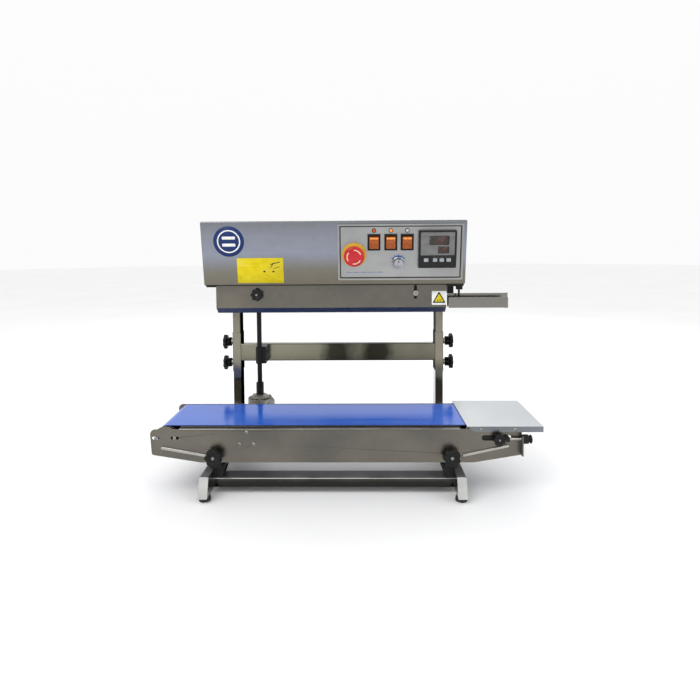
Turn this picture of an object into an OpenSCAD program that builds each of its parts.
// Continuous band sealer, upright type. Millimetres, +Z up.
// Origin: on the floor, under the middle of the whole machine's outer box. +X runs along the conveyor
// towards the infeed table, and -Y faces the operator.
// Inside place(), X is measured from the middle of the base, Y from the middle of its side tubes, and Z
// from a level 16 mm under those tubes.

/* [Base] */
// Front-to-back length of the base's side tubes
base_depth = 396; // [390:1:420]
// Distance from the middle of the machine to the middle of each side tube
leg_x = 261; // [259:0.5:264]
// Height of the rubber feet
foot_h = 10; // [8:1:14]
// Width of the base and post tubes
tube_w = 19.4; // [19:0.1:19.4]
// Height of the base side tubes
tube_h = 40; // [38:1:42]

/* [Mast] */
// Front face of the posts
post_y = 135; // [133:1:137]
// Depth of the post tubes
post_d = 38.6; // [36:0.2:40]
// Lower end of the sleeves
sleeve_z = 201; // [199:1:203]
// Length of the sleeves
sleeve_len = 99; // [97:1:101]
// Height of the crossbar that joins the sleeves
mast_bar_h = 45; // [40:1:48]

/* [Head] */
// Left end of the head cover
head_x0 = -255; // [-258:1:-250]
// Right end of the head cover
head_x1 = 268; // [264:1:272]
// Underside of the head cover
head_z = 446; // [444:1:448]
// Height of the head cover
head_h = 126; // [124:1:130]
// Front top edge of the head cover
head_front = -201; // [-204:1:-198]
// How far the front face slopes back from top to bottom
face_slope = 24; // [22:1:26]
// Back of the head
head_back = 185; // [183:1:190]
// Sheet thickness of the head cover
cover_t = 1.5; // [1:0.1:2]

/* [Sealing] */
// Line along which the two sealing bands meet
seal_y = -72; // [-73:0.5:-71]
// Radius of the sealing wheels
wheel_r = 32; // [31:0.5:33]
// Distance from the middle to each pair of sealing wheels
wheel_x = 190; // [186:1:192]

/* [Conveyor] */
// Front face of the conveyor's front side plate
plate_front = -163; // [-163.5:0.1:-162.5]
// Width over the two side plates
frame_w = 184; // [183:0.5:185]
// Left end of the side plates
plate_x0 = -377; // [-380:1:-375]
// Right end of the side plates
plate_x1 = 386; // [385:1:387]
// Bottom edge of the side plates
plate_z0 = 78; // [77:0.5:80]
// Width of the conveyor belt
belt_w = 150; // [140:1:150]
// Right end of the infeed table
table_x1 = 430; // [415:1:445]

/* [Hidden] */
$fn = 48;

// Clearances: running is the radial play of a shaft in its bore, slip the gap between sliding faces.
running = 0.05;
slip = 0.3;
tube_t = 1.5;
eps = 0.01;

// Base
base_z = 16;
floor_z = base_z - foot_h;
leg_top = base_z + tube_h;
leg_nose = 14;
foot_r = 12.5;
foot_inset = 20;
cross_z = base_z + 4;
cross_h = 20;
cross_d = 40;
front_cross_y = -150;
rear_cross_y = 145;
lower_post_top = sleeve_z + 47;
upper_post_z0 = lower_post_top + 2;
post_mid = post_y + post_d / 2;

// Mast
sleeve_t = 1;
sleeve_w = tube_w + 2 * slip + 2 * sleeve_t;
sleeve_d = post_d + 2 * slip + 2 * sleeve_t;
sleeve_y = post_mid - sleeve_d / 2;
bar_z = sleeve_z + 25.5;
bar_d = 22;
knob_z_upper = sleeve_z + 73;
knob_z_lower = sleeve_z + 18.5;
post_knob_d = 38;
boss_len = 6;
clamp_bolt_r = 4;

// Drive shaft and gearbox
shaft_x = -196;
shaft_y = 100;
shaft_r = 6;
shaft_z0 = 85;
drive_x = -177;
drive_z = 125;
axle_r = 5;

// Head
head_top = head_z + head_h;
face_tilt = atan(face_slope / head_h);
plate_t = 6;
guard_y = -165;
guard_t = 1.5;
apron_y = -160;
guard_stud_r = 2.5;
guard_knob_x = -150;
guard_knob_z = 425;
guard_nut_x = 170;
guard_nut_z = 427;
band_t = 1;
band_gap = 0.3;
wheel_offset = wheel_r + slip + band_t + band_gap;
wheel_z = 408;
wheel_h = 20;
band_h = 15;
gear_teeth = 20;
wheel_axle_r = 6;

// Control panel: u is X, v is the distance down the sloping face, o stands out from it
panel_u0 = 15;
panel_u1 = 261;
panel_v0 = 7;
panel_v1 = 119;
panel_t = 1.5;
estop_u = 47;
estop_v = 68;
estop_reach = 25;
rocker_u = [86, 119, 151];
rocker_v = 43;
rocker_tilt = 8;
rocker_pin_r = 1.4;
lamp_v = 20;
speed_u = 134;
speed_v = 84;
ctrl_u = 210;
ctrl_v = 57;
ctrl_size = 74;
ctrl_o = 8;
key_u = [188, 205.5, 218.5, 232];
key_v = 78;
key_w = 8.6;
key_h = 7;

// Conveyor
plate_t2 = 2;
plate_top = 147.2;
roller_z = 129;
roller_r = 19.7;
belt_t = 2;
belt_in_r = roller_r + slip;
tail_x = -346;
tension_x = 290;
belt_y0 = plate_front + 16;
rear_plate_y = plate_front + frame_w - plate_t2;
rear_face = plate_front + frame_w;
boss_r = 10;
bracket_x = 242;
bracket_z = 94;
bracket_knob_d = 36;
table_z = 153;
table_t = 1.5;
table_x0 = 275;
slot_x0 = 305;
slot_x1 = 365;
slot_w = 11;
carriage_knob_x = 338;
screw_y = plate_front - 7;
inlet_x = 200;
inlet_z = 490;

// The middle of the machine's outer box
front_reach = head_front + estop_v * sin(face_tilt) - estop_reach * cos(face_tilt) - 11 * sin(face_tilt);
mid_x = (plate_x0 + table_x1) / 2;
mid_y = (front_reach + base_depth / 2) / 2;

module place() {
    translate([-mid_x, -mid_y, -floor_z]) children();
}

// Puts a shape on the sloping front face: x is u, -z is v and -y stands out
module on_face(u, v) {
    translate([0, head_front, head_top])
        rotate([face_tilt, 0, 0])
            translate([u, 0, -v])
                children();
}

// A box given by its lowest and highest corners
module box(low, high) {
    translate(low) cube(high - low);
}

// Extrudes an X-Z outline from y = 0 back to y = depth
module xz_plate(depth) {
    translate([0, depth, 0]) rotate([90, 0, 0]) linear_extrude(depth) children();
}

// Extrudes a Y-Z outline from x = 0 to x = width
module yz_plate(width) {
    rotate([90, 0, 90]) linear_extrude(width) children();
}

// A cylinder along Y from y0 to y1
module y_rod(x, z, r, y0, y1) {
    translate([x, y0, z]) rotate([-90, 0, 0]) cylinder(r = r, h = y1 - y0);
}

// A round-ended bar between two points
module bar_2d(from, to, width) {
    run = to - from;
    translate(from) circle(d = width);
    translate(to) circle(d = width);
    translate(from) rotate(atan2(run[1], run[0])) translate([0, -width / 2]) square([norm(run), width]);
}

// A square-ended bar between two points
module rib_2d(from, to, width) {
    run = to - from;
    translate(from) rotate(atan2(run[1], run[0])) translate([0, -width / 2]) square([norm(run), width]);
}

// A star knob on the Z axis: bolt below z = 0, round hub, then the lobed grip. bore is a blind hole.
module star_knob(d, grip, hub_d, hub_h, bolt_r = 0, bolt_len = 0, bore_r = 0, bore_len = 0) {
    lobes = 7;
    difference() {
        union() {
            cylinder(d = hub_d, h = hub_h);
            translate([0, 0, hub_h - eps]) linear_extrude(grip + eps) difference() {
                circle(d = d);
                for (i = [0 : lobes - 1])
                    rotate(i * 360 / lobes) translate([d * 0.53, 0]) circle(d = d * 0.22);
            }
            if (bolt_len > 0)
                translate([0, 0, -bolt_len]) cylinder(r = bolt_r, h = bolt_len + eps);
        }
        if (bore_len > 0)
            translate([0, 0, -eps]) cylinder(r = bore_r, h = bore_len);
    }
}

// ---- Base ----

module side_tube(side) {
    back = base_depth / 2;
    translate([side * leg_x - tube_w / 2, 0, 0]) difference() {
        yz_plate(tube_w) polygon([[-back, base_z], [back, base_z], [back, leg_top], [leg_nose - back, leg_top]]);
        box([tube_t, leg_nose + 2 - back, base_z + tube_t], [tube_w - tube_t, back + 1, leg_top - tube_t]);
    }
}

module base_frame() {
    inner = leg_x - tube_w / 2;
    color("silver") difference() {
        union() {
            for (side = [-1, 1]) {
                side_tube(side);
                translate([side * leg_x, post_mid, leg_top - eps])
                    translate([-tube_w / 2, -post_d / 2, 0])
                        cube([tube_w, post_d, lower_post_top - leg_top + eps]);
            }
            for (y = [front_cross_y, rear_cross_y])
                box([-inner - eps, y, cross_z], [inner + eps, y + cross_d, cross_z + cross_h]);
        }
        for (y = [front_cross_y, rear_cross_y])
            box([-inner - 5, y + tube_t, cross_z + tube_t],
                [inner + 5, y + cross_d - tube_t, cross_z + cross_h - tube_t]);
        for (side = [-1, 1])
            translate([side * leg_x, post_mid, leg_top - 5])
                translate([tube_t - tube_w / 2, tube_t - post_d / 2, 0])
                    cube([tube_w - 2 * tube_t, post_d - 2 * tube_t, lower_post_top]);
    }
}

module rubber_feet() {
    reach = base_depth / 2 - foot_inset;
    color("black")
        for (side = [-1, 1], end = [-1, 1])
            translate([side * leg_x, end * reach, floor_z]) cylinder(r1 = foot_r, r2 = foot_r - 1.5, h = foot_h);
}

module bracket_ear(y) {
    lift = 25;
    half = 12;
    translate([0, y, 0]) xz_plate(3) difference() {
        translate([-half, 66]) square([2 * half, bracket_z + lift + 8 - 66]);
        bar_2d([0, bracket_z], [0, bracket_z + lift], 9);
    }
}

module conveyor_brackets() {
    foot_z = cross_z + cross_h;
    arm_z = 66;
    color([0.08, 0.08, 0.08])
        for (side = [-1, 1])
            translate([side * bracket_x, 0, 0]) {
                for (y = [front_cross_y + 1, front_cross_y + cross_d - 5])
                    translate([0, y, 0]) xz_plate(4)
                        polygon([[-9 * side, foot_z], [9 * side, foot_z], [9 * side, leg_top + 1],
                                 [18 * side, arm_z + eps], [-18 * side, arm_z + eps]]);
                box([-18, front_cross_y + 1, arm_z], [18, front_cross_y + cross_d - 1, arm_z + 4]);
                box([-12, plate_front + 2.5, arm_z], [12, rear_plate_y - 0.5, arm_z + 5]);
                bracket_ear(plate_front + 2.5);
                bracket_ear(rear_plate_y - 3.5);
            }
}

// ---- Mast ----

module mast_sleeve(side) {
    color("silver") difference() {
        union() {
            translate([side * leg_x - sleeve_w / 2, sleeve_y, sleeve_z]) cube([sleeve_w, sleeve_d, sleeve_len]);
            for (z = [knob_z_lower, knob_z_upper])
                translate([side * (leg_x + sleeve_w / 2 - eps), post_mid, z])
                    rotate([0, side * 90, 0]) cylinder(r = 8, h = boss_len + eps);
        }
        translate([side * leg_x - sleeve_w / 2 + sleeve_t, sleeve_y + sleeve_t, sleeve_z - 1])
            cube([sleeve_w - 2 * sleeve_t, sleeve_d - 2 * sleeve_t, sleeve_len + 2]);
        for (z = [knob_z_lower, knob_z_upper])
            translate([side * leg_x, post_mid, z])
                rotate([0, side * 90, 0]) cylinder(r = clamp_bolt_r + running, h = sleeve_w / 2 + boss_len + 1);
    }
}

module mast_sleeve_left() { mast_sleeve(-1); }
module mast_sleeve_right() { mast_sleeve(1); }

module mast_crossbar() {
    reach = leg_x - sleeve_w / 2;
    color("gainsboro") difference() {
        box([-reach, sleeve_y, bar_z], [reach, sleeve_y + bar_d, bar_z + mast_bar_h]);
        box([-reach - 1, sleeve_y + tube_t, bar_z + tube_t],
            [reach + 1, sleeve_y + bar_d - tube_t, bar_z + mast_bar_h - tube_t]);
    }
}

module shaft_guide() {
    low = bar_z + 1;
    high = bar_z + mast_bar_h - 1;
    color([0.08, 0.08, 0.08]) difference() {
        union() {
            translate([shaft_x, shaft_y, low]) cylinder(r = shaft_r + 3.5, h = high - low);
            box([shaft_x, shaft_y - 4, low], [shaft_x + 17, sleeve_y, high]);
        }
        translate([shaft_x, shaft_y, bar_z]) cylinder(r = shaft_r + 0.5, h = mast_bar_h);
    }
}

module post_knob(side, z) {
    hub_x = leg_x + sleeve_w / 2 + boss_len + slip;
    bolt_len = hub_x - (leg_x + tube_w / 2 + slip + 0.1);
    color([0.08, 0.08, 0.08]) translate([side * hub_x, post_mid, z]) rotate([0, side * 90, 0])
        star_knob(post_knob_d, 10, 23, 10.5, clamp_bolt_r, bolt_len);
}

module post_knob_upper_left() { post_knob(-1, knob_z_upper); }
module post_knob_upper_right() { post_knob(1, knob_z_upper); }
module post_knob_lower_left() { post_knob(-1, knob_z_lower); }
module post_knob_lower_right() { post_knob(1, knob_z_lower); }

// ---- Head frame ----

module upper_post(side) {
    top = head_z - plate_t;
    color("silver") translate([side * leg_x - tube_w / 2, post_y, upper_post_z0]) difference() {
        cube([tube_w, post_d, top - upper_post_z0]);
        translate([tube_t, tube_t, -1])
            cube([tube_w - 2 * tube_t, post_d - 2 * tube_t, top - upper_post_z0 + 2]);
    }
}

module upper_post_left() { upper_post(-1); }
module upper_post_right() { upper_post(1); }

module head_plate() {
    ear_x = leg_x + 12;
    under = head_z - plate_t;
    color("gray") difference() {
        union() {
            box([head_x0, apron_y, under], [head_x1, head_back, head_z]);
            box([-ear_x, 125, under], [ear_x, head_back, head_z]);
            box([-230, apron_y, 408], [228, apron_y + 3, under + eps]);
            y_rod(guard_knob_x, guard_knob_z, guard_stud_r, apron_y - 12.4, apron_y + eps);
            y_rod(guard_nut_x, guard_nut_z, guard_stud_r, apron_y - 12.4, apron_y + eps);
            translate([guard_nut_x, guard_y - 0.5, guard_nut_z]) rotate([90, 0, 0])
                cylinder(d = 11.5, h = 5, $fn = 6);
        }
        for (x = [-wheel_x, wheel_x], dir = [-1, 1])
            translate([x, seal_y + dir * wheel_offset, under - 1])
                cylinder(r = wheel_axle_r + running, h = plate_t + 2);
        translate([shaft_x, shaft_y, under - 1]) cylinder(r = shaft_r + running, h = plate_t + 2);
    }
}

module head_cover() {
    t_face = cover_t / cos(face_tilt);
    color("darkkhaki") difference() {
        translate([head_x0, 0, 0]) yz_plate(head_x1 - head_x0)
            polygon([[head_front, head_top], [head_front + face_slope, head_z],
                     [head_back, head_z], [head_back, head_top]]);
        translate([head_x0 + cover_t, 0, 0]) yz_plate(head_x1 - head_x0 - 2 * cover_t)
            polygon([[head_front + t_face + cover_t * tan(face_tilt), head_top - cover_t],
                     [head_front + face_slope + t_face + tan(face_tilt), head_z - 1],
                     [head_back - cover_t, head_z - 1], [head_back - cover_t, head_top - cover_t]]);
        on_face(0, 0) box([panel_u0 + 6, -5, -panel_v1 + 6], [panel_u1 - 6, 5, -panel_v0 - 6]);
        box([inlet_x - 15, head_back - 5, inlet_z - 13], [inlet_x + 15, head_back + 5, inlet_z + 13]);
    }
}

// ---- Control panel ----

module control_panel() {
    rim = 3;
    color([0.65, 0.65, 0.65]) on_face(0, 0) difference() {
        union() {
            box([panel_u0, -panel_t, -panel_v1], [panel_u1, 0, -panel_v0]);
            difference() {
                box([panel_u0, -2 * panel_t, -panel_v1], [panel_u1, -eps, -panel_v0]);
                box([panel_u0 + rim, -5, -panel_v1 + rim], [panel_u1 - rim, 1, -panel_v0 - rim]);
            }
        }
        y_rod(estop_u, -estop_v, 11, -5, 5);
        y_rod(speed_u, -speed_v, 3 + running, -5, 5);
        for (u = rocker_u) {
            box([u - 11, -5, -rocker_v - 14.5], [u + 11, 5, -rocker_v + 14.5]);
            y_rod(u, -lamp_v, 3, -5, 5);
        }
        box([ctrl_u - 34, -5, -ctrl_v - 34], [ctrl_u + 34, 5, -ctrl_v + 34]);
    }
}

module estop_ring() {
    color("gold") on_face(estop_u, estop_v) difference() {
        y_rod(0, 0, 24.5, -panel_t - 2, -panel_t);
        y_rod(0, 0, 11, -10, 5);
    }
}

module estop_button() {
    color("red") on_face(estop_u, estop_v) rotate([90, 0, 0]) {
        translate([0, 0, -14]) cylinder(r = 10, h = 26);
        translate([0, 0, 10]) cylinder(r1 = 16, r2 = 20, h = 5);
        translate([0, 0, 15 - eps]) cylinder(r = 20, h = 5 + eps);
        translate([0, 0, 20 - eps]) cylinder(r1 = 20, r2 = 17, h = 3 + eps);
        translate([0, 0, 23 - eps]) cylinder(r1 = 17, r2 = 11, h = estop_reach - 23 + eps);
    }
}

module switch_frames() {
    color([0.1, 0.1, 0.1])
        for (u = rocker_u)
            on_face(u, rocker_v) difference() {
                union() {
                    box([-12.5, -panel_t - 3.5, -16], [12.5, -panel_t, 16]);
                    box([-10.8, -panel_t - eps, -14.2], [10.8, 22, 14.2]);
                }
                box([-9.5, -20, -13.2], [9.5, 9, 13.2]);
                translate([-10.5, 0, 0]) rotate([0, 90, 0]) cylinder(r = rocker_pin_r + running, h = 21);
            }
}

// The paddle's two faces meet in a shallow valley, so one half lies flush when it is tilted.
module rocker(u) {
    half = 11.9;
    rise = half * tan(rocker_tilt);
    color("darkorange") on_face(u, rocker_v) rotate([rocker_tilt, 0, 0]) translate([-9, 0, 0])
        yz_plate(18)
            polygon([[-5.2, 0], [-5.2 - rise, half], [-1, half], [4, 8], [4, -8], [-1, -half],
                     [-5.2 - rise, -half]]);
    color("darkorange") on_face(u, rocker_v) translate([-10.3, 0, 0]) rotate([0, 90, 0])
        cylinder(r = rocker_pin_r, h = 20.6);
}

module rocker_motor() { rocker(rocker_u[0]); }
module rocker_heat() { rocker(rocker_u[1]); }
module rocker_fan() { rocker(rocker_u[2]); }

module indicator_lamps() {
    color("orangered")
        for (u = rocker_u)
            on_face(u, lamp_v) {
                y_rod(0, 0, 4, -panel_t - 2.5, -panel_t);
                y_rod(0, 0, 2.9, -panel_t - eps, 12);
            }
}

module speed_knob() {
    color("silver") on_face(speed_u, speed_v) rotate([90, 0, 0]) {
        translate([0, 0, -10]) cylinder(r = 3, h = 14);
        translate([0, 0, 2.2]) cylinder(r = 12, h = 3);
        translate([0, 0, 5.2 - eps]) cylinder(r1 = 10.5, r2 = 9.5, h = 12);
    }
}

module temperature_controller() {
    half = ctrl_size / 2;
    color([0.16, 0.16, 0.15]) on_face(0, 0) difference() {
        union() {
            box([ctrl_u - half, -ctrl_o, -ctrl_v - half], [ctrl_u + half, -panel_t, -ctrl_v + half]);
            box([ctrl_u - 33.5, -panel_t - eps, -ctrl_v - 33.5], [ctrl_u + 33.5, 60, -ctrl_v + 33.5]);
        }
        for (u = key_u)
            box([u - key_w / 2 - slip, -ctrl_o - 1, -key_v - key_h / 2 - slip],
                [u + key_w / 2 + slip, -ctrl_o + 4, -key_v + key_h / 2 + slip]);
    }
}

module controller_key(u) {
    color("lightgray") on_face(0, 0)
        box([u - key_w / 2, -ctrl_o - 1.2, -key_v - key_h / 2], [u + key_w / 2, -ctrl_o + 2.6, -key_v + key_h / 2]);
}

module key_set() { controller_key(key_u[0]); }
module key_shift() { controller_key(key_u[1]); }
module key_down() { controller_key(key_u[2]); }
module key_up() { controller_key(key_u[3]); }

// ---- Guard and feed guide ----

module guard_plate() {
    lip_y = 15;
    lip_z = 11;
    fold_z = 398;
    bottom = fold_z - lip_z;
    back = guard_y + guard_t;
    color([0.45, 0.43, 0.4]) difference() {
        translate([-234, 0, 0]) yz_plate(466)
            polygon([[guard_y, fold_z], [guard_y, head_z - 1], [back, head_z - 1], [back, fold_z + 0.6],
                     [back + lip_y, bottom + 0.6], [guard_y + lip_y, bottom - 0.6]]);
        translate([0, guard_y - 1, 0]) xz_plate(guard_t + 2) {
            bar_2d([guard_knob_x, guard_knob_z - 8], [guard_knob_x, guard_knob_z + 11], 6);
            bar_2d([guard_nut_x, guard_nut_z - 9], [guard_nut_x, guard_nut_z + 13], 6);
        }
    }
}

module guard_knob() {
    color([0.08, 0.08, 0.08]) translate([guard_knob_x, guard_y - 0.4, guard_knob_z]) rotate([90, 0, 0])
        star_knob(25, 8, 13, 3, 0, 0, guard_stud_r + running, 8);
}

// One of the two plates between which the bag's mouth runs in: dir is -1 at the front, 1 at the back
module feed_lip(y, z0, z1, dir, x1) {
    translate([0, y, z0]) linear_extrude(z1 - z0)
        polygon([[250, 0], [x1 - 10, 0], [x1, dir * 7], [x1, dir * 7 + 1.5], [x1 - 10.6, 1.5], [250, 1.5]]);
}

module feed_guide() {
    color("silver") {
        feed_lip(-85, 387, 410, -1, 376);
        feed_lip(-61, 387, 417, 1, 385);
    }
}

module feed_blocks() {
    under = head_z - plate_t;
    color([0.1, 0.1, 0.1]) {
        box([250, -64, 417], [264, -50, under]);
        box([266, -90, 427], [279, -78, under - 2]);
        box([260, -90, under - 6], [268, -78, under]);
        translate([272, -84.25, 410]) cylinder(r = 2.2, h = 18);
    }
}

// ---- Inside the head ----

module drive_motor() {
    color([0.25, 0.27, 0.3]) {
        box([-40, 50, head_z], [20, 130, head_z + 80]);
        translate([20 - eps, 90, head_z + 42]) rotate([0, 90, 0]) cylinder(r = 38, h = 120);
        translate([-58, 90, head_z + 42]) rotate([0, 90, 0]) cylinder(r = 6, h = 19);
    }
}

module power_inlet() {
    color([0.1, 0.1, 0.1]) difference() {
        union() {
            box([inlet_x - 25, head_back, inlet_z - 16], [inlet_x + 25, head_back + 2.5, inlet_z + 16]);
            box([inlet_x - 14.5, head_back - 20, inlet_z - 12.5], [inlet_x + 14.5, head_back + eps, inlet_z + 12.5]);
        }
        box([inlet_x - 12, head_back - 13, inlet_z - 8.5], [inlet_x + 12, head_back + 4, inlet_z + 8.5]);
        for (side = [-1, 1])
            y_rod(inlet_x + side * 20, inlet_z, 1.7, head_back - 5, head_back + 5);
    }
    color("silver")
        for (side = [-1, 0, 1])
            box([inlet_x + side * 7 - 1, head_back - 13 - eps, inlet_z - 2.5 + 2 * (1 - abs(side))],
                [inlet_x + side * 7 + 1, head_back - 3, inlet_z + 2.5 + 2 * (1 - abs(side))]);
}

// A flat belt round two equal rollers: an X-Y outline
module loop_2d(x0, x1, r_in, r_out) {
    difference() {
        bar_2d([x0, 0], [x1, 0], 2 * r_out);
        bar_2d([x0, 0], [x1, 0], 2 * r_in);
    }
}

module seal_band(dir) {
    color([0.75, 0.6, 0.4])
        translate([0, seal_y + dir * wheel_offset, wheel_z + (wheel_h - band_h) / 2])
            linear_extrude(band_h) loop_2d(-wheel_x, wheel_x, wheel_r + slip, wheel_r + slip + band_t);
}

module seal_band_front() { seal_band(-1); }
module seal_band_rear() { seal_band(1); }

// A spur gear outline with narrow teeth
module gear_2d(turn) {
    step = 360 / gear_teeth;
    root = wheel_offset - 3.2;
    tip = wheel_offset + 2.2;
    rotate(turn) polygon([
        for (i = [0 : gear_teeth - 1], p = [[root, -4.6], [tip, -1.4], [tip, 1.4], [root, 4.6]])
            [p[0] * cos(i * step + p[1]), p[0] * sin(i * step + p[1])]
    ]);
}

module seal_wheel(x, dir, geared) {
    step = 360 / gear_teeth;
    color([0.55, 0.55, 0.57]) translate([x, seal_y + dir * wheel_offset, 0]) {
        translate([0, 0, wheel_z]) cylinder(r = wheel_r, h = wheel_h);
        translate([0, 0, wheel_z - 4]) cylinder(r = wheel_axle_r, h = head_z + 12 - wheel_z + 4);
        if (geared)
            translate([0, 0, head_z + 2]) linear_extrude(8) gear_2d(dir == 1 ? step / 2 : 0);
        if (!geared)
            translate([0, 0, head_z + 2]) cylinder(r = 10, h = 8);
    }
}

module seal_wheel_front_left() { seal_wheel(-wheel_x, -1, true); }
module seal_wheel_front_right() { seal_wheel(wheel_x, -1, false); }
module seal_wheel_rear_left() { seal_wheel(-wheel_x, 1, true); }
module seal_wheel_rear_right() { seal_wheel(wheel_x, 1, false); }

// A block that presses the band from inside its loop, on two hangers. fins cuts cooling slots.
module press_block(x0, dir, fins) {
    depth = 12;
    near = seal_y + dir * (band_gap + band_t + slip);
    mid = near + dir * depth / 2;
    z0 = wheel_z + 1;
    z1 = wheel_z + wheel_h - 1;
    difference() {
        union() {
            box([x0, mid - depth / 2, z0], [x0 + 100, mid + depth / 2, z1]);
            for (x = [x0 + 20, x0 + 80])
                translate([x, mid, z1 - eps]) cylinder(r = 4, h = head_z - plate_t - z1 + eps);
        }
        if (fins)
            for (i = [0 : 8])
                translate([x0 + 9 + i * 10, mid + dir * 3 - 4, z0 - 1]) cube([3, 8, 7]);
    }
}

module heating_blocks() {
    color("peru") {
        press_block(20, -1, false);
        press_block(20, 1, false);
    }
}

module cooling_blocks() {
    color("lightsteelblue") {
        press_block(-120, -1, true);
        press_block(-120, 1, true);
    }
}

module drive_shaft() {
    color([0.1, 0.1, 0.1]) translate([shaft_x, shaft_y, 0]) difference() {
        union() {
            translate([0, 0, shaft_z0]) cylinder(r = shaft_r, h = head_z + 40 - shaft_z0);
            translate([0, 0, head_z + 4]) cylinder(r = 24, h = 10);
        }
        box([-1.5, -shaft_r - 1, shaft_z0 - 1], [1.5, 2 - shaft_r, head_z - plate_t - 20]);
    }
}

// ---- Conveyor ----

module side_outline(end_r) {
    difference() {
        union() {
            polygon([[plate_x0 + 3, 94], [-272, plate_z0], [289, plate_z0], [plate_x1, 94],
                     [plate_x1, 146], [plate_x1 - 5, 150.5], [289, 150.5], [272, plate_top],
                     [plate_x0 + 8, plate_top], [plate_x0 + 2, 144], [plate_x0, 138]]);
            translate([tail_x, roller_z]) circle(r = end_r);
        }
        for (side = [-1, 1])
            translate([side * bracket_x, bracket_z]) circle(r = clamp_bolt_r + running);
        bar_2d([slot_x0 + slot_w / 2, roller_z], [slot_x1 - slot_w / 2, roller_z], slot_w);
        bar_2d([-370, roller_z], [-361, roller_z], 6);
        bar_2d([-331, roller_z], [-320, roller_z], 6);
    }
}

function flange_screws() = [for (a = [90, 210, 330]) [drive_x + 16.7 * cos(a), drive_z + 16.7 * sin(a)]];
table_screw_x = [304, 372];
table_screw_z = 146.5;

module roller_boss(x, z, y0, y1, bore_y0, bore_y1) {
    difference() {
        y_rod(x, z, boss_r, y0, y1);
        y_rod(x, z, axle_r + running, bore_y0, bore_y1);
    }
}

module conveyor_plate_front() {
    inner = plate_front + plate_t2;
    color([0.45, 0.43, 0.4]) {
        difference() {
            union() {
                translate([0, plate_front, 0]) xz_plate(plate_t2) side_outline(24);
                box([-318, plate_front + eps, plate_top - 2], [262, plate_front + 14, plate_top - eps]);
                translate([0, plate_front - 2.5, 0]) xz_plate(3) {
                    rib_2d([-352, 109], [-262, 93], 5);
                    rib_2d([268, 93.5], [358, 113], 5);
                }
                box([plate_x1 - 3, plate_front - 15, 96], [plate_x1 - eps, inner, 137]);
            }
            translate([plate_x1 - 4, screw_y, roller_z]) rotate([0, 90, 0]) cylinder(r = 3 + running, h = 6);
            for (p = flange_screws())
                y_rod(p[0], p[1], 2.1, plate_front - 1, inner + 1);
            for (x = table_screw_x)
                y_rod(x, table_screw_z, 2.1, plate_front - 1, inner + 1);
        }
        roller_boss(tail_x, roller_z, inner - eps, inner + 11, inner + 1, inner + 12);
        roller_boss(drive_x, drive_z, inner - eps, inner + 11, inner + 1, inner + 12);
    }
}

module conveyor_plate_rear() {
    color([0.45, 0.43, 0.4]) difference() {
        union() {
            translate([0, rear_plate_y, 0]) xz_plate(plate_t2) side_outline(17);
            y_rod(tail_x, roller_z, boss_r, rear_plate_y - 11, rear_plate_y + eps);
            y_rod(drive_x, drive_z, boss_r, rear_plate_y - 11, rear_plate_y + eps);
        }
        y_rod(tail_x, roller_z, axle_r + running, rear_plate_y - 12, rear_plate_y - 1);
        y_rod(drive_x, drive_z, axle_r + running, rear_plate_y - 12, rear_face + 1);
        for (x = table_screw_x)
            y_rod(x, table_screw_z, 2.1, rear_plate_y - 1, rear_face + 1);
    }
}

// A pan-head screw whose head stands on y = face; dir is the way that the head points
module pan_screw(x, z, face, dir, shank) {
    y_rod(x, z, 3.6, min(face, face + dir * 2.2), max(face, face + dir * 2.2));
    y_rod(x, z, 2, min(face, face - dir * shank), max(face, face - dir * shank));
}

module conveyor_screws() {
    color("white") {
        for (p = flange_screws())
            pan_screw(p[0], p[1], plate_front, -1, plate_t2);
        for (x = [-365, -326])
            pan_screw(x, roller_z, plate_front, -1, plate_t2);
        for (x = table_screw_x) {
            pan_screw(x, table_screw_z, plate_front - table_t, -1, plate_t2 + table_t);
            pan_screw(x, table_screw_z, rear_face + table_t, 1, plate_t2 + table_t);
        }
        for (side = [-1, 1]) {
            y_rod(side * bracket_x, bracket_z, 7, rear_face, rear_face + 6);
            y_rod(side * bracket_x, bracket_z, clamp_bolt_r, rear_plate_y - 6, rear_face + eps);
        }
    }
}

module slider_bed() {
    color("darkgray") {
        box([-318, belt_y0, plate_top - 2 - eps], [262, belt_y0 + belt_w, roller_z + roller_r + 0.1]);
        box([-318, plate_front + plate_t2, 141.1], [262, rear_plate_y, plate_top - 2]);
    }
}

module conveyor_belt() {
    color([0.1, 0.3, 0.85]) translate([0, belt_y0, roller_z]) translate([0, belt_w, 0]) rotate([90, 0, 0])
        linear_extrude(belt_w) loop_2d(tail_x, tension_x, belt_in_r, belt_in_r + belt_t);
}

module roller(x, z, r, axle_y0, axle_y1) {
    y_rod(x, z, r, belt_y0 + 2, belt_y0 + belt_w - 2);
    y_rod(x, z, axle_r, axle_y0, axle_y1);
}

module tail_roller() {
    color("silver") roller(tail_x, roller_z, roller_r, plate_front + 4, rear_plate_y - 2);
}

module drive_roller() {
    color("silver") roller(drive_x, drive_z, 15.6, plate_front + 4, shaft_y + 12);
    color("goldenrod") translate([drive_x, shaft_y + 8, drive_z]) rotate([90, 0, 0])
        linear_extrude(16) difference() {
            circle(r = 9.6);
            for (i = [0 : 15])
                rotate(i * 22.5) translate([10.2, 0]) circle(r = 1.1);
        }
}

module tension_roller() {
    color("silver") roller(tension_x, roller_z, roller_r, plate_front + 3.2, rear_plate_y - 1.2);
}

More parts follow.
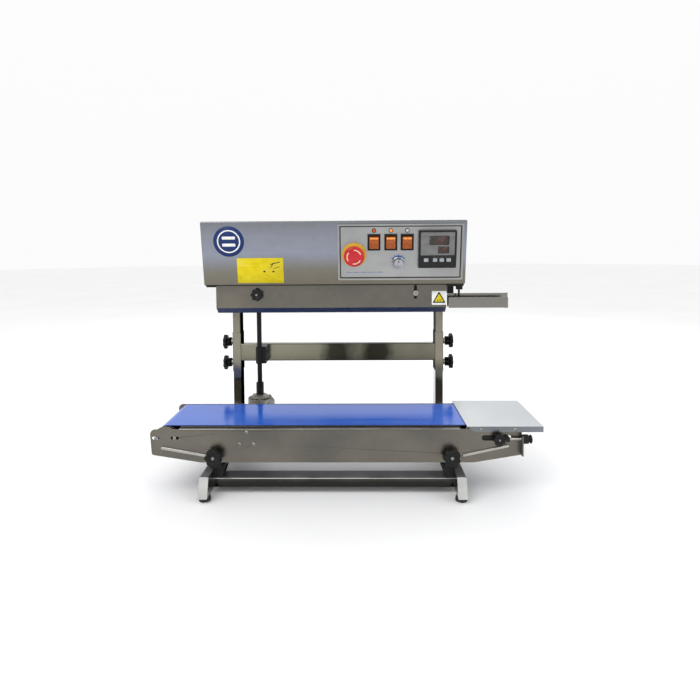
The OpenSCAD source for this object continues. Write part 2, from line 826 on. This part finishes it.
module gearbox_housing() {
    color([0.55, 0.54, 0.5]) difference() {
        union() {
            translate([shaft_x, shaft_y, 80]) cylinder(r = 30, h = 61);
            translate([shaft_x, shaft_y, 141 - eps]) cylinder(r1 = 29, r2 = 15, h = 8 + eps);
            y_rod(drive_x, drive_z, 15.5, rear_face, shaft_y + 16);
            box([drive_x - 28, rear_face, 98], [drive_x + 28, rear_face + 6, 143]);
        }
        translate([shaft_x, shaft_y, 86]) cylinder(r = 10.5, h = 52);
        translate([shaft_x, shaft_y, 79]) cylinder(r = shaft_r + 1, h = 8);
        translate([shaft_x, shaft_y, 137]) cylinder(r = 8 + running, h = 20);
        y_rod(drive_x, drive_z, axle_r + running, rear_face - 1, shaft_y - 10);
        y_rod(drive_x, drive_z, 11, shaft_y - 12, shaft_y + 14);
    }
}

module gearbox_worm() {
    color([0.12, 0.12, 0.12]) translate([shaft_x, shaft_y, 0]) difference() {
        union() {
            translate([0, 0, 86.5]) cylinder(r = 8, h = 64);
            translate([0, 0, 149.6]) cylinder(r = 9.5, h = 30);
            for (i = [0 : 5])
                translate([0, 0, 113 + i * 4]) cylinder(r = 9, h = 2);
        }
        translate([0, 0, 80]) cylinder(r = shaft_r + slip, h = 120);
    }
}

// The flange's outline: its left end is cut at a slant
module table_flange() {
    xz_plate(table_t) difference() {
        polygon([[table_x0, table_z], [table_x1, table_z], [table_x1, 141], [table_x0 + 16, 141]]);
        for (x = table_screw_x)
            translate([x, table_screw_z]) circle(r = 2.1);
    }
}

module infeed_table() {
    front = plate_front - table_t;
    back = rear_face + table_t;
    color([0.8, 0.81, 0.83]) {
        box([table_x0, front, table_z - table_t], [table_x1, back, table_z]);
        translate([0, front, 0]) table_flange();
        translate([0, rear_face, 0]) table_flange();
        box([table_x1 - table_t, front, 141], [table_x1, back, table_z]);
    }
}

module tension_carriage() {
    front = plate_front + plate_t2 + 0.7;
    back = rear_plate_y - 0.7;
    color([0.3, 0.3, 0.3]) difference() {
        union() {
            box([274, front, 118], [356, front + 4, 140]);
            box([274, back - 4, 118], [342, back, 140]);
            box([330, front, 121], [342, back, 137]);
            box([351, plate_front - 12, 124.5], [359, front + 4, 133.5]);
            y_rod(carriage_knob_x, roller_z, 3, plate_front - 13, front + eps);
        }
        for (y = [front - 1, back - 5])
            y_rod(tension_x, roller_z, axle_r + running, y, y + 6);
        translate([350, screw_y, roller_z]) rotate([0, 90, 0]) cylinder(r = 3 + running, h = 12);
    }
}

module tension_screw() {
    color([0.1, 0.1, 0.1]) translate([351, screw_y, roller_z]) rotate([0, 90, 0]) {
        cylinder(r = 3, h = plate_x1 + 3 - 351);
        translate([0, 0, plate_x1 + 1 - 351]) linear_extrude(17) difference() {
            circle(r = 9.5);
            for (i = [0 : 23])
                rotate(i * 15) translate([9.8, 0]) circle(r = 0.7);
        }
    }
}

module tension_knob() {
    color([0.08, 0.08, 0.08]) translate([carriage_knob_x, plate_front - 0.4, roller_z]) rotate([90, 0, 0])
        star_knob(25, 9, 14, 8, 0, 0, 3 + running, 13);
}

module bracket_knob(side) {
    color([0.08, 0.08, 0.08]) translate([side * bracket_x, plate_front - 0.4, bracket_z]) rotate([90, 0, 0])
        star_knob(bracket_knob_d, 14, 20, 8, clamp_bolt_r, 8.4);
}

module bracket_knob_left() { bracket_knob(-1); }
module bracket_knob_right() { bracket_knob(1); }

place() base_frame();
place() rubber_feet();
place() conveyor_brackets();
place() mast_sleeve_left();
place() mast_sleeve_right();
place() mast_crossbar();
place() shaft_guide();
place() post_knob_upper_left();
place() post_knob_upper_right();
place() post_knob_lower_left();
place() post_knob_lower_right();
place() upper_post_left();
place() upper_post_right();
place() head_plate();
place() head_cover();
place() control_panel();
place() estop_ring();
place() estop_button();
place() switch_frames();
place() rocker_motor();
place() rocker_heat();
place() rocker_fan();
place() indicator_lamps();
place() speed_knob();
place() temperature_controller();
place() key_set();
place() key_shift();
place() key_down();
place() key_up();
place() guard_plate();
place() guard_knob();
place() feed_guide();
place() feed_blocks();
place() drive_motor();
place() power_inlet();
place() seal_band_front();
place() seal_band_rear();
place() seal_wheel_front_left();
place() seal_wheel_front_right();
place() seal_wheel_rear_left();
place() seal_wheel_rear_right();
place() heating_blocks();
place() cooling_blocks();
place() drive_shaft();
place() conveyor_plate_front();
place() conveyor_plate_rear();
place() conveyor_screws();
place() slider_bed();
place() conveyor_belt();
place() tail_roller();
place() drive_roller();
place() tension_roller();
place() gearbox_housing();
place() gearbox_worm();
place() infeed_table();
place() tension_carriage();
place() tension_screw();
place() tension_knob();
place() bracket_knob_left();
place() bracket_knob_right();
